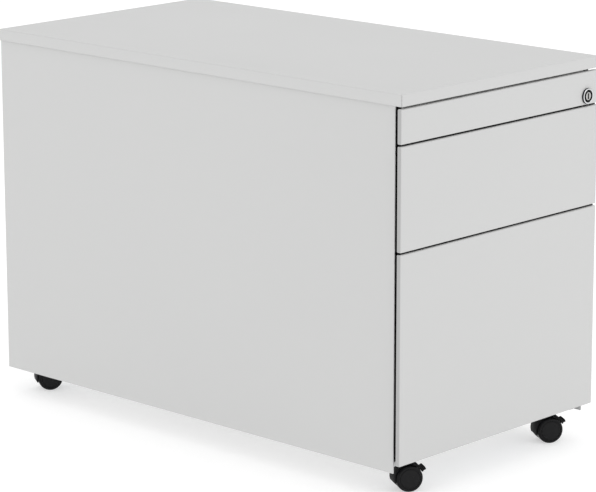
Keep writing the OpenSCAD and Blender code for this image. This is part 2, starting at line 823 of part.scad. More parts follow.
catch_bracket(file_catch_z);  // file_catch
caster_plates();
caster_screws();
hood(0, true);  // front_left_hood
hood(1, true);  // front_right_hood
hood(2, false);  // rear_left_hood
hood(3, false);  // rear_right_hood
wheel(0, -1);  // front_left_caster_left_wheel
wheel(0, 1);  // front_left_caster_right_wheel
wheel(1, -1);  // front_right_caster_left_wheel
wheel(1, 1);  // front_right_caster_right_wheel
wheel(2, -1);  // rear_left_caster_left_wheel
wheel(2, 1);  // rear_left_caster_right_wheel
wheel(3, -1);  // rear_right_caster_left_wheel
wheel(3, 1);  // rear_right_caster_right_wheel
brake_lever(0);  // left_brake_lever
brake_lever(1);  // right_brake_lever
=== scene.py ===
"""A light grey steel mobile pedestal on casters: its finished surfaces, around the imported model."""

import json
import math

import bmesh
import bpy
import numpy as np
from mathutils import Matrix, Vector


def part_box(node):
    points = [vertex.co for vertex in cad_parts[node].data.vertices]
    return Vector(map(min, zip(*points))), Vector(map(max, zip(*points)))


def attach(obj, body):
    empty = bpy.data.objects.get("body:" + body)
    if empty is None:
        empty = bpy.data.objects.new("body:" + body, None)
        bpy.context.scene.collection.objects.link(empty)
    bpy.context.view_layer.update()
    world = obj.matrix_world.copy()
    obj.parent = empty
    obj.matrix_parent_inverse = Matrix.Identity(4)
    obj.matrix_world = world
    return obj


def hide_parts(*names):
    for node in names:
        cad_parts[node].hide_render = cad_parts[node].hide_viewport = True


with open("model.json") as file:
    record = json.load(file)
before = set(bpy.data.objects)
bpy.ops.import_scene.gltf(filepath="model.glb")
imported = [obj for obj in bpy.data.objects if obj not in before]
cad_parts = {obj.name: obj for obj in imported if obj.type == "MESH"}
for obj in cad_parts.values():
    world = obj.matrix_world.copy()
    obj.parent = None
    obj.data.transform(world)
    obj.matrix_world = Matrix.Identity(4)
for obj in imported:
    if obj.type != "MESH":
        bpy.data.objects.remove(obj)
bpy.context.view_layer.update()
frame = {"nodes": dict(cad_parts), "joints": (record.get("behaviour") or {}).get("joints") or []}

MM = 0.001
scene = bpy.context.scene

# ---------------------------------------------------------------- camera, floor and light
# The camera looks down a little on the cabinet's left front corner through a long lens. The
# cabinet stands on a pale floor in even studio light, with one soft light over its front.

camera_place = Vector((-3.018, -2.8615, 1.250))
camera_yaw = math.radians(46.66)
camera_pitch = math.radians(13.40)
camera_roll = math.radians(-0.10)
camera_lens = 175.5
camera_sensor = 36.0
floor_half = 30.0

ahead = Vector((
    math.sin(camera_yaw) * math.cos(camera_pitch),
    math.cos(camera_yaw) * math.cos(camera_pitch),
    -math.sin(camera_pitch),
))
level = Vector((math.cos(camera_yaw), -math.sin(camera_yaw), 0.0))
upward = level.cross(ahead)
across = math.cos(camera_roll) * level + math.sin(camera_roll) * upward
upward = across.cross(ahead)
camera = bpy.data.objects.new("camera", bpy.data.cameras.new("camera"))
scene.collection.objects.link(camera)
camera.data.lens = camera_lens
camera.data.sensor_width = camera_sensor
camera.data.clip_end = 100.0
turn = Matrix((across, upward, -ahead)).transposed().to_4x4()
camera.matrix_world = Matrix.Translation(camera_place) @ turn
scene.camera = camera

scene.view_settings.view_transform = "Standard"
scene.view_settings.look = "None"

world = bpy.data.worlds.new("studio")
scene.world = world
world.use_nodes = True
world.node_tree.nodes["Background"].inputs["Color"].default_value = (1.0, 1.0, 1.0, 1.0)
world.node_tree.nodes["Background"].inputs["Strength"].default_value = 1.0


def soft_light(name, place, aim, size, watts):
    """A square area light of that size, at place, facing aim."""
    lamp = bpy.data.lights.new(name, "AREA")
    lamp.size = size
    lamp.energy = watts
    light = bpy.data.objects.new(name, lamp)
    scene.collection.objects.link(light)
    light.location = place
    light.rotation_euler = (Vector(aim) - Vector(place)).to_track_quat("-Z", "Y").to_euler()


soft_light("front_light", (1.2, -3.4, 2.2), (0.0, -0.2, 0.3), 1.8, 16.0)
soft_light("side_light", (-3.6, 0.6, 1.7), (0.0, 0.0, 0.3), 2.0, 10.0)

floor_mesh = bpy.data.meshes.new("floor")
floor_mesh.from_pydata(
    [(x, y, 0.0) for x, y in ((-floor_half, -floor_half), (floor_half, -floor_half),
                              (floor_half, floor_half), (-floor_half, floor_half))],
    [], [(0, 1, 2, 3)])
floor = bpy.data.objects.new("floor", floor_mesh)
scene.collection.objects.link(floor)
floor_paint = bpy.data.materials.new("floor_white")
floor_paint.use_nodes = True
floor_shader = floor_paint.node_tree.nodes["Principled BSDF"]
floor_shader.inputs["Base Color"].default_value = (0.60, 0.60, 0.60, 1.0)
floor_shader.inputs["Roughness"].default_value = 0.9
floor_shader.inputs["Specular IOR Level"].default_value = 0.1
floor_shader.inputs["Emission Color"].default_value = (1.0, 1.0, 1.0, 1.0)
floor_shader.inputs["Emission Strength"].default_value = 0.50
floor_mesh.materials.append(floor_paint)

# ---------------------------------------------------------------- side panels
# Plain sheets of 1 mm steel, folded flat on themselves along the front edge, powder coated a
# light grey. They are welded to the uprights, the bottom and the back.


def grain_group():
    """Noise for every finish: Blotch changes slowly over a panel, Grain is the fine surface."""
    group = bpy.data.node_groups.new("finish_grain", "ShaderNodeTree")
    for name, value in (("Blotch Size", 4.0), ("Grain Size", 900.0)):
        socket = group.interface.new_socket(name, in_out="INPUT", socket_type="NodeSocketFloat")
        socket.default_value = value
    socket = group.interface.new_socket("Stretch", in_out="INPUT", socket_type="NodeSocketVector")
    socket.default_value = (1.0, 1.0, 1.0)
    for name in ("Blotch", "Grain"):
        group.interface.new_socket(name, in_out="OUTPUT", socket_type="NodeSocketFloat")
    nodes, links = group.nodes, group.links
    source = nodes.new("NodeGroupInput")
    result = nodes.new("NodeGroupOutput")
    place = nodes.new("ShaderNodeTexCoord")
    stretch = nodes.new("ShaderNodeVectorMath")
    stretch.operation = "MULTIPLY"
    links.new(place.outputs["Object"], stretch.inputs[0])
    links.new(source.outputs["Stretch"], stretch.inputs[1])
    for size, output, detail in (("Blotch Size", "Blotch", 3.0), ("Grain Size", "Grain", 2.0)):
        noise = nodes.new("ShaderNodeTexNoise")
        noise.inputs["Detail"].default_value = detail
        links.new(stretch.outputs["Vector"], noise.inputs["Vector"])
        links.new(source.outputs[size], noise.inputs["Scale"])
        links.new(noise.outputs["Fac"], result.inputs[output])
    return group


finish_grain = grain_group()


def finish(name, dark, light, rough, metallic=0.0, blotch=4.0, grain=900.0, bump=0.02,
           depth=0.0001, stretch=(1.0, 1.0, 1.0), specular=0.5, mottle=0.35):
    """A material whose colour runs from dark to light with the two noises, mottle being the
    fine one's share. Its roughness follows the slow noise, its bump the fine one."""
    material = bpy.data.materials.new(name)
    material.use_nodes = True
    nodes, links = material.node_tree.nodes, material.node_tree.links
    shader = nodes["Principled BSDF"]
    shader.inputs["Metallic"].default_value = metallic
    shader.inputs["Specular IOR Level"].default_value = specular
    group = nodes.new("ShaderNodeGroup")
    group.node_tree = finish_grain
    group.inputs["Blotch Size"].default_value = blotch
    group.inputs["Grain Size"].default_value = grain
    group.inputs["Stretch"].default_value = stretch
    tone = nodes.new("ShaderNodeMix")
    tone.data_type = "RGBA"
    tone.inputs[6].default_value = (*dark, 1.0)
    tone.inputs[7].default_value = (*light, 1.0)
    slow = nodes.new("ShaderNodeMath")
    slow.operation = "MULTIPLY"
    slow.inputs[1].default_value = 1.0 - mottle
    links.new(group.outputs["Blotch"], slow.inputs[0])
    mixed = nodes.new("ShaderNodeMath")
    mixed.operation = "MULTIPLY_ADD"
    mixed.inputs[1].default_value = mottle
    links.new(group.outputs["Grain"], mixed.inputs[0])
    links.new(slow.outputs[0], mixed.inputs[2])
    links.new(mixed.outputs[0], tone.inputs[0])
    links.new(tone.outputs[2], shader.inputs["Base Color"])
    spread = nodes.new("ShaderNodeMapRange")
    spread.inputs["From Min"].default_value = 0.3
    spread.inputs["From Max"].default_value = 0.7
    spread.inputs["To Min"].default_value = rough[0]
    spread.inputs["To Max"].default_value = rough[1]
    links.new(group.outputs["Blotch"], spread.inputs["Value"])
    links.new(spread.outputs["Result"], shader.inputs["Roughness"])
    relief = nodes.new("ShaderNodeBump")
    relief.inputs["Strength"].default_value = bump
    relief.inputs["Distance"].default_value = depth
    links.new(group.outputs["Grain"], relief.inputs["Height"])
    links.new(relief.outputs["Normal"], shader.inputs["Normal"])
    return material


def rounded(corners, radii, steps=5):
    """Closed outline through the corners, each turned into an arc of its radius: the arc's
    centre lies on the corner's bisector, r / sin(half angle) away."""
    corners = np.asarray(corners, float)
    radii = np.broadcast_to(np.asarray(radii, float), len(corners))
    towards = np.roll(corners, 1, axis=0) - corners
    away = np.roll(corners, -1, axis=0) - corners
    towards /= np.linalg.norm(towards, axis=1)[:, None]
    away /= np.linalg.norm(away, axis=1)[:, None]
    half = np.arccos(np.clip((towards * away).sum(1), -1, 1)) / 2
    reach = radii / np.tan(half)
    bisector = towards + away
    bisector /= np.linalg.norm(bisector, axis=1)[:, None]
    centre = corners + bisector * (radii / np.sin(half))[:, None]
    start = corners + towards * reach[:, None] - centre
    end = corners + away * reach[:, None] - centre
    share = np.linspace(0, 1, steps)[None, :, None]
    swing = (math.pi - 2 * half)[:, None, None]
    swing = np.maximum(swing, 1e-6)
    arcs = (np.sin((1 - share) * swing) * start[:, None] + np.sin(share * swing) * end[:, None])
    return (centre[:, None] + arcs / np.sin(swing)).reshape(-1, 2)


def loft(loops):
    """Closed surface over loops of equal length, one after another, with a flat face over the
    first and the last: returns its points and faces."""
    loops = np.asarray(loops, float)
    count, around = loops.shape[:2]
    here = np.arange(count * around).reshape(count, around)
    ahead_of = np.roll(here, -1, axis=1)
    quads = np.stack([here[:-1], ahead_of[:-1], ahead_of[1:], here[1:]], axis=-1).reshape(-1, 4)
    faces = quads.tolist() + [here[0][::-1].tolist(), here[-1].tolist()]
    return loops.reshape(-1, 3), faces


def drawn_along(outline, axis, start, end):
    """The outline, drawn in the two other axes in X, Y, Z order, carried from start to end."""
    outline = np.asarray(outline, float)
    others = [k for k in range(3) if k != axis]
    loops = np.zeros((2, len(outline), 3))
    loops[:, :, others] = outline
    loops[:, :, axis] = np.array([start, end])[:, None]
    return loft(loops)


def piece(name, body, replaced, parts, material, smooth_angle=35.0):
    """One object made of closed parts, each points and faces, in metres; it rides on its body
    and stands for the CAD nodes in replaced."""
    mesh = bpy.data.meshes.new(name)
    offsets = np.cumsum([0] + [len(points) for points, _ in parts])
    points = np.concatenate([points for points, _ in parts])
    faces = [[i + offset for i in face]
             for (_, part_faces), offset in zip(parts, offsets) for face in part_faces]
    mesh.from_pydata(points.tolist(), [], faces)
    cleaned = bmesh.new()
    cleaned.from_mesh(mesh)
    bmesh.ops.recalc_face_normals(cleaned, faces=cleaned.faces)
    cleaned.to_mesh(mesh)
    cleaned.free()
    mesh.polygons.foreach_set("use_smooth", np.ones(len(mesh.polygons), bool))
    mesh.set_sharp_from_angle(angle=math.radians(smooth_angle))
    mesh.materials.append(material)
    made = bpy.data.objects.new(name, mesh)
    scene.collection.objects.link(made)
    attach(made, body)
    if replaced:
        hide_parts(*replaced)
    return made


def coat_nodes(names, material):
    """Gives CAD nodes that keep their own shape a finish."""
    for name in names:
        materials = frame["nodes"][name].data.materials
        materials.clear()
        materials.append(material)


def light_grey_coat(name):
    """Powder coat: pale grey, satin, with a fine orange peel."""
    return finish(name, (0.545, 0.547, 0.545), (0.575, 0.577, 0.573), (0.42, 0.52),
                  blotch=2.5, grain=1400.0, bump=0.10, depth=0.00008)


powder_coat = light_grey_coat("powder_coat_light_grey")
sheet = 1.0 * MM
hem_depth = 12.0 * MM
hem_thick = 2.0 * MM
hem_slope = 0.4 * MM
cut_edge = 0.3 * MM

for side in (-1, 1):
    node = "left_side_panel" if side < 0 else "right_side_panel"
    low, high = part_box(node)
    outer = low.x if side < 0 else high.x
    inner = outer - side * sheet
    hem = outer - side * hem_thick
    corners = [(outer, high.y), (inner, high.y), (inner, low.y + hem_depth),
               (hem, low.y + hem_depth - hem_slope), (hem, low.y), (outer, low.y)]
    radii = np.array([0.3, 0.3, 0.1, 0.2, 0.85, 0.85]) * MM
    piece(node + "_sheet", "carcass", [node],
          [drawn_along(rounded(corners, radii), 2, low.z, high.z)], powder_coat)

# ---------------------------------------------------------------- back panel
# One steel sheet with a flange bent forwards at each side, powder coated like the side panels
# and spot-welded inside them.

low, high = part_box("back_panel")
corners = [(low.x, high.y), (low.x, low.y), (low.x + sheet, low.y), (low.x + sheet, high.y - sheet),
           (high.x - sheet, high.y - sheet), (high.x - sheet, low.y), (high.x, low.y), (high.x, high.y)]
radii = np.array([2.0, 0.3, 0.3, 1.0, 1.0, 0.3, 0.3, 2.0]) * MM
piece("back_panel_sheet", "carcass", ["back_panel"],
      [drawn_along(rounded(corners, radii), 2, low.z, high.z)], powder_coat)

# ---------------------------------------------------------------- bottom, uprights and stiffeners
# Folded steel inside the cabinet, welded together and powder coated with it. The caster bars are
# zinc plated, and so are the lock's bar, guides, cam and nut.

coat_nodes(["bottom_panel", "front_top_rail", "slide_uprights", "top_stiffeners"], powder_coat)

zinc = finish("bright_zinc", (0.50, 0.52, 0.55), (0.66, 0.68, 0.70), (0.26, 0.42), metallic=1.0,
              blotch=30.0, grain=1200.0, bump=0.06, stretch=(1.0, 0.06, 1.0))
coat_nodes(["caster_beams", "lock_bar_guides", "lock_bar", "lock_cam", "lock_nut"], zinc)

# ---------------------------------------------------------------- top cover
# One sheet folded down all round into a rim, and in again under the carcass. The rim's corners
# are closed edge to edge, which leaves a fine upright seam.


def rim_loop(half_x, half_y, radius, steps, seam=0.0):
    """A rectangle with round corners; seam pulls the middle of each corner's arc inwards."""
    angles = np.linspace(0, math.pi / 2, steps)
    reach = radius - seam * np.exp(-((angles - math.pi / 4) / 0.16) ** 4)
    arc = np.stack([np.cos(angles), np.sin(angles)], axis=1) * reach[:, None]
    turns = [np.array([[math.cos(a), math.sin(a)], [-math.sin(a), math.cos(a)]])
             for a in np.arange(4) * math.pi / 2]
    centres = np.array([(1, 1), (-1, 1), (-1, -1), (1, -1)]) * [half_x - radius, half_y - radius]
    return np.concatenate([centre + arc @ spin for centre, spin in zip(centres, turns)])


least_corner = 0.15 * MM
seam_inset = 0.9 * MM
seam_depth = 1.2 * MM


def pan(half_x, half_y, profile, corner, steps=9, seam=0.0):
    """A folded pan: a profile of (inset from the edge, depth below the face) carried round a
    rectangle. The seam shows only where the profile runs close to the edge."""
    loops = []
    for inset, depth in profile:
        radius = max(corner - inset, least_corner)
        shown = seam if inset < seam_inset and depth > seam_depth else 0.0
        flat = rim_loop(half_x - inset, half_y - inset, radius, steps, min(shown, 0.8 * radius))
        loops.append(np.column_stack([flat, np.full(len(flat), -depth)]))
    return loft(loops)


def bend(centre, radius, start, end, steps=6):
    """Points of a bend in a profile, as (inset, depth), from one angle to another."""
    angles = np.radians(np.linspace(start, end, steps))
    return [(centre[0] - radius * math.cos(a), centre[1] - radius * math.sin(a)) for a in angles]


low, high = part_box("top_cover")
rim = high.z - low.z
bend_r = 1.8 * MM
in_r = bend_r - sheet
cover_return = 16.0 * MM
cover_corner = 2.0 * MM
cover_seam = 1.3 * MM
profile = bend((bend_r, bend_r), bend_r, 90, 0)
profile += bend((bend_r, rim - bend_r), bend_r, 0, -90)
profile += [(cover_return, rim), (cover_return, rim - sheet)]
profile += bend((bend_r, rim - bend_r), in_r, -90, 0)
profile += bend((bend_r, bend_r), in_r, 0, 90)
points, faces = pan((high.x - low.x) / 2, (high.y - low.y) / 2, profile, cover_corner,
                    steps=17, seam=cover_seam)
points = points + np.array([(low.x + high.x) / 2, (low.y + high.y) / 2, high.z])
piece("top_cover_sheet", "carcass", ["top_cover"], [(points, faces)], powder_coat)

# ---------------------------------------------------------------- grip channels
# Black plastic channels beside the fronts, where fingers reach in. Each is one moulded length
# that snaps into the carcass.

black_plastic = finish("black_moulded_plastic", (0.0035, 0.0035, 0.004), (0.0075, 0.0075, 0.0085),
                       (0.48, 0.60), blotch=25.0, grain=2200.0, bump=0.25, depth=0.00006,
                       specular=0.12)
grip_wall = 1.2 * MM

for side in (-1, 1):
    node = "left_grip_channel" if side < 0 else "right_grip_channel"
    low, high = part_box(node)
    corners = [(low.x, low.y), (low.x + grip_wall, low.y), (low.x + grip_wall, high.y - grip_wall),
               (high.x - grip_wall, high.y - grip_wall), (high.x - grip_wall, low.y),
               (high.x, low.y), (high.x, high.y), (low.x, high.y)]
    radii = np.array([0.5, 0.5, 2.2, 2.2, 0.5, 0.5, 1.0, 1.0]) * MM
    piece(node + "_moulding", "carcass", [node],
          [drawn_along(rounded(corners, radii), 2, low.z, high.z)], black_plastic)

# ---------------------------------------------------------------- counterweight
# A block behind the file drawer, which keeps the cabinet from tipping. It is sand cast in iron
# and primed dark grey.

cast_iron = finish("primed_cast_iron", (0.050, 0.050, 0.053), (0.085, 0.085, 0.088), (0.55, 0.75),
                   blotch=40.0, grain=500.0, bump=0.5, depth=0.0004)
cast_edge = 5 * MM
cast_corner = 8 * MM
low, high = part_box("counterweight")
profile = bend((cast_edge, cast_edge), cast_edge, 90, 0)
profile += bend((cast_edge, high.z - low.z - cast_edge), cast_edge, 0, -90)
points, faces = pan((high.x - low.x) / 2, (high.y - low.y) / 2, profile, cast_corner)
points = points + np.array([(low.x + high.x) / 2, (low.y + high.y) / 2, high.z])
piece("counterweight_casting", "carcass", ["counterweight"],
      [(points, faces)], cast_iron)

# ---------------------------------------------------------------- drawer slides
# Roll-formed, zinc plated members that run inside each other on balls: an outer one on the
# uprights, a middle one on the two deep drawers, and an inner one on each drawer.

slide_steel = 1.2 * MM


def mirrored_pair(node, corners, radii):
    """The outline on the right side, and its mirror image on the left, along the node's length."""
    low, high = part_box(node)
    right = rounded(corners, radii)
    left = right * [-1, 1]
    return [drawn_along(outline, 1, low.y, high.y) for outline in (left, right)]


slide_bodies = {"pencil": "pencil_drawer", "box": "box_drawer", "file": "file_drawer"}
tub_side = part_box("box_drawer_tub")[1].x
slide_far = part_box("slide_uprights")[1].x - 20.0 * MM
outer_clear = 0.5 * MM
lip = 3.0 * MM
middle_clear = 2.6 * MM
middle_web = 6.2 * MM
for drawer, body in slide_bodies.items():
    low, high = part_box(drawer + "_slide_outers")
    near, far, bottom, top = tub_side + outer_clear, slide_far, low.z, high.z
    t = slide_steel
    corners = [(near, bottom), (far, bottom), (far, top), (near, top), (near, top - lip),
               (near + t, top - lip), (near + t, top - t), (far - t, top - t), (far - t, bottom + t),
               (near + t, bottom + t), (near + t, bottom + lip), (near, bottom + lip)]
    radii = np.array([1.5, 1.5, 1.5, 1.5, 0.3, 0.3, 0.4, 0.4, 0.4, 0.4, 0.3, 0.3]) * MM
    piece(drawer + "_slide_outer_members", "carcass", [drawer + "_slide_outers"],
          mirrored_pair(drawer + "_slide_outers", corners, radii), zinc)
    low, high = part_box(drawer + "_slide_inners")
    near, far, bottom, top = tub_side, high.x, low.z, high.z
    corners = [(near, bottom), (far, bottom), (far, bottom + t), (near + t, bottom + t),
               (near + t, top - t), (far, top - t), (far, top), (near, top)]
    radii = np.array([1.5, 0.4, 0.4, 0.4, 0.4, 0.4, 0.4, 1.5]) * MM
    piece(drawer + "_slide_inner_members", body, [drawer + "_slide_inners"],
          mirrored_pair(drawer + "_slide_inners", corners, radii), zinc)

for drawer in ("box", "file"):
    low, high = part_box(drawer + "_slide_middles")
    near, far, bottom, top = tub_side + middle_clear, high.x, low.z, high.z
    web = tub_side + middle_web
    t = slide_steel
    corners = [(near, bottom), (far, bottom), (far, bottom + t), (web + t, bottom + t),
               (web + t, top - t), (far, top - t), (far, top), (near, top), (near, top - t),
               (web, top - t), (web, bottom + t), (near, bottom + t)]
    radii = np.array([0.5, 0.5, 0.4, 0.6, 0.6, 0.4, 0.5, 0.5, 0.4, 0.6, 0.6, 0.4]) * MM
    piece(drawer + "_slide_middle_members", drawer + "_slide_middle", [drawer + "_slide_middles"],
          mirrored_pair(drawer + "_slide_middles", corners, radii), zinc)

# ---------------------------------------------------------------- drawer tubs
# Bottom and sides bent from one sheet, each top edge folded flat inwards, with a back panel
# spot-welded between the sides.

hem_height = 8.0 * MM
for drawer, body in slide_bodies.items():
    node = drawer + "_drawer_tub"
    low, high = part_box(node)
    t, h = sheet, 2 * sheet
    corners = [(low.x, low.z), (high.x, low.z), (high.x, high.z), (high.x - h, high.z),
               (high.x - h, high.z - hem_height), (high.x - t, high.z - hem_height),
               (high.x - t, low.z + t), (low.x + t, low.z + t), (low.x + t, high.z - hem_height),
               (low.x + h, high.z - hem_height), (low.x + h, high.z), (low.x, high.z)]
    radii = np.array([2.0, 2.0, 0.9, 0.9, 0.3, 0.2, 1.0, 1.0, 0.2, 0.3, 0.9, 0.9]) * MM
    parts = [drawn_along(rounded(corners, radii), 1, low.y, high.y)]
    if drawer == "pencil":
        inside = high.x - sheet
        corners = [(-inside, low.z + t), (inside, low.z + t), (inside, high.z), (-inside, high.z)]
        parts.append(drawn_along(rounded(corners, 0.3 * MM), 1, high.y - sheet, high.y))
    piece(node + "_sheet", body, [node], parts, powder_coat)

for drawer in ("box", "file"):
    node = drawer + "_drawer_back"
    low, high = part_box(node)
    corners = [(low.x, low.z), (high.x, low.z), (high.x, high.z), (low.x, high.z)]
    piece(node + "_sheet", slide_bodies[drawer], [node],
          [drawn_along(rounded(corners, 1.5 * MM), 1, low.y, high.y)], powder_coat)

# ---------------------------------------------------------------- drawer fronts
# Each front is a shallow powder coated pan, folded back on all four sides and closed behind by
# an inner front, which stops short of the sides so that fingers reach behind the folds. The
# folds that face sideways are painted darker: painted shade, standing in for the shade on them.


def standing_pan(low, high, profile, corner, steps=9, seam=0.0):
    """A pan turned to face the front: its face lies at low.y and its depth runs backwards."""
    points, faces = pan((high.x - low.x) / 2, (high.z - low.z) / 2, profile, corner, steps, seam)
    x, z, depth = points.T
    moved = np.column_stack([x + (low.x + high.x) / 2, low.y - depth, z + (low.z + high.z) / 2])
    return moved, faces


def facing_group():
    """How far a surface faces along an axis: the normal's share of that axis, taken from
    Start to End and spread over 0 to 1."""
    group = bpy.data.node_groups.new("facing_share", "ShaderNodeTree")
    socket = group.interface.new_socket("Axis", in_out="INPUT", socket_type="NodeSocketVector")
    socket.default_value = (0.0, 1.0, 0.0)
    for name, value in (("Start", 0.55), ("End", 0.97)):
        socket = group.interface.new_socket(name, in_out="INPUT", socket_type="NodeSocketFloat")
        socket.default_value = value
    group.interface.new_socket("Share", in_out="OUTPUT", socket_type="NodeSocketFloat")
    nodes, links = group.nodes, group.links
    source = nodes.new("NodeGroupInput")
    result = nodes.new("NodeGroupOutput")
    place = nodes.new("ShaderNodeTexCoord")
    along = nodes.new("ShaderNodeVectorMath")
    along.operation = "DOT_PRODUCT"
    links.new(place.outputs["Normal"], along.inputs[0])
    links.new(source.outputs["Axis"], along.inputs[1])
    size = nodes.new("ShaderNodeMath")
    size.operation = "ABSOLUTE"
    links.new(along.outputs["Value"], size.inputs[0])
    spread = nodes.new("ShaderNodeMapRange")
    links.new(source.outputs["Start"], spread.inputs["From Min"])
    links.new(source.outputs["End"], spread.inputs["From Max"])
    links.new(size.outputs[0], spread.inputs["Value"])
    links.new(spread.outputs["Result"], result.inputs["Share"])
    return group


facing_share = facing_group()


def painted_light_and_shade_by_facing(material, axis, start, end, other, swap=False):
    """Paints light or shade into the material: a second colour, other, where it faces along the
    axis, or with swap where it doesn't."""
    nodes, links = material.node_tree.nodes, material.node_tree.links
    group = nodes.new("ShaderNodeGroup")
    group.node_tree = facing_share
    group.inputs["Axis"].default_value = axis
    group.inputs["Start"].default_value = start
    group.inputs["End"].default_value = end
    tone = nodes.new("ShaderNodeMix")
    tone.data_type = "RGBA"
    colour = nodes["Principled BSDF"].inputs["Base Color"]
    first, second = (7, 6) if swap else (6, 7)
    links.new(group.outputs["Share"], tone.inputs[0])
    links.new(colour.links[0].from_socket, tone.inputs[first])
    tone.inputs[second].default_value = (*other, 1.0)
    links.new(tone.outputs[2], colour)
    return material


front_corner = 1.6 * MM
front_seam = 0.35 * MM
# Painted shade: the fronts' folds that face sideways get this darker colour in place of the shade that
# falls on them.
fold_painted_shade = (0.395, 0.397, 0.395)
front_coat_painted_shade = painted_light_and_shade_by_facing(light_grey_coat("front_powder_coat_painted_shade"), (1.0, 0.0, 0.0), 0.80, 0.99,
                             fold_painted_shade)
fold_depth = 7.2 * MM

for drawer, body in slide_bodies.items():
    low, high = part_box(drawer + "_front")
    fold = min(high.y - low.y, fold_depth)
    profile = bend((bend_r, bend_r), bend_r, 90, 0)
    profile += [(0.0, fold - cut_edge), (cut_edge, fold),
                (sheet - 0.2 * MM, fold), (sheet, fold - 0.2 * MM)]
    profile += bend((bend_r, bend_r), in_r, 0, 90)
    piece(drawer + "_front_pan", body, [drawer + "_front"],
          [standing_pan(low, high, profile, front_corner, seam=front_seam)], front_coat_painted_shade)
    low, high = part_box(drawer + "_inner_front")
    corners = [(low.x, low.y), (low.x + sheet, low.y), (low.x + sheet, high.y - sheet),
               (high.x - sheet, high.y - sheet), (high.x - sheet, low.y), (high.x, low.y),
               (high.x, high.y), (low.x, high.y)]
    radii = np.array([0.3, 0.3, 0.8, 0.8, 0.3, 0.3, 1.8, 1.8]) * MM
    piece(drawer + "_inner_front_sheet", body, [drawer + "_inner_front"],
          [drawn_along(rounded(corners, radii), 2, low.z, high.z)], powder_coat)

# ---------------------------------------------------------------- dust strips
# A thin strip of black rubber is glued along the top fold of each deep front, at the back, and
# closes half of the gap under the front above it.

strip_high = 1.5 * MM
strip_deep = 2.2 * MM
strip_inset = 1.2 * MM
strip_setback = 0.4 * MM
strip_sink = 0.05 * MM
for drawer in ("box", "file"):
    low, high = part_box(drawer + "_front")
    back = low.y + fold_depth - strip_setback
    corners = [(back - strip_deep, high.z - strip_sink), (back, high.z - strip_sink),
               (back, high.z + strip_high), (back - strip_deep, high.z + strip_high)]
    radii = np.array([0.1, 0.1, 0.7, 0.7]) * MM
    piece(drawer + "_dust_strip", slide_bodies[drawer], [],
          [drawn_along(rounded(corners, radii), 0, low.x + strip_inset, high.x - strip_inset)],
          black_plastic)

# ---------------------------------------------------------------- catches
# Zinc plated brackets of pressed steel, fixed to the drawers' right sides. Each has the pin that
# the lock bar holds.

coat_nodes(["pencil_catch", "box_catch", "file_catch"], zinc)

# ---------------------------------------------------------------- pencil tray
# A vacuum-formed insert of black plastic that lies loose in the pencil drawer. Its open
# compartments have sloping walls.

tray_rows = ((0.25, 1), (0.33, 2), (0.42, 3))
tray_wall = 2.0 * MM
tray_floor = 1.5 * MM
tray_slope = 3.0 * MM
low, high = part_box("pencil_tray")
x = np.linspace(low.x, high.x, 300)
y = np.linspace(low.y, high.y, 180)


def valley(value, start, end, slope):
    """1 inside the stretch from start to end, falling smoothly to 0 over slope at each side."""
    rise = np.clip(np.minimum(value - start, end - value) / slope, 0, 1)
    return rise * rise * (3 - 2 * rise)


hollow = np.zeros((len(y), len(x)))
row_start = low.y + tray_wall / 2
for share, count in tray_rows:
    row_depth = share * (high.y - low.y - tray_wall)
    row = valley(y, row_start + tray_wall / 2, row_start + row_depth - tray_wall / 2, tray_slope)
    pitch = (high.x - low.x - tray_wall) / count
    start = low.x + tray_wall + pitch * np.arange(count)
    end = start + pitch - tray_wall
    columns = valley(x[None, :], start[:, None], end[:, None], tray_slope).max(0)
    hollow = np.maximum(hollow, row[:, None] * columns[None, :])
    row_start += row_depth
tray_top = high.z - (high.z - low.z - tray_floor) * hollow
across_x, along_y = np.meshgrid(x, y)
top_points = np.stack([across_x, along_y, tray_top], axis=-1).reshape(-1, 3)
index = np.arange(top_points.shape[0]).reshape(tray_top.shape)
quads = np.stack([index[:-1, :-1], index[:-1, 1:], index[1:, 1:], index[1:, :-1]], -1).reshape(-1, 4)
edge = np.concatenate([index[0, :-1], index[:-1, -1], index[-1, :0:-1], index[:0:-1, 0]])
foot = top_points[edge] * [1, 1, 0] + [0, 0, low.z]
foot_index = len(top_points) + np.arange(len(edge))
skirt = np.stack([edge, np.roll(edge, -1), np.roll(foot_index, -1), foot_index], -1)
faces = quads.tolist() + skirt.tolist() + [foot_index.tolist()]
piece("pencil_tray_moulding", "pencil_drawer", ["pencil_tray"],
      [(np.concatenate([top_points, foot]), faces)], black_plastic, smooth_angle=50.0)

# ---------------------------------------------------------------- dividers and file rails
# Two steel cross dividers stand in the box drawer on folded feet. Two zinc plated strips carry
# the hanging files.

low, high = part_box("box_dividers")
foot_depth = 15.0 * MM
spacing = high.y - foot_depth - low.y
parts = []
for k in (0, 1):
    front = low.y + k * spacing
    corners = [(front, low.z), (front + foot_depth, low.z), (front + foot_depth, low.z + sheet),
               (front + sheet, low.z + sheet), (front + sheet, high.z), (front, high.z)]
    radii = np.array([1.8, 0.3, 0.3, 0.8, 0.45, 0.45]) * MM
    parts.append(drawn_along(rounded(corners, radii), 0, low.x, high.x))
piece("box_divider_sheets", "box_drawer", ["box_dividers"], parts, powder_coat)

low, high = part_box("hanging_rails")
rail = 2.0 * MM
corners = [(high.x - rail, low.z), (high.x, low.z), (high.x, high.z), (high.x - rail, high.z)]
piece("hanging_rail_strips", "file_drawer", ["hanging_rails"],
      mirrored_pair("hanging_rails", corners, 0.8 * MM), zinc)

# ---------------------------------------------------------------- slide balls and rivets
# Steel balls run between the slide members. Each inner member is riveted to its drawer's side,
# and the flat rivet heads show inside the drawer.

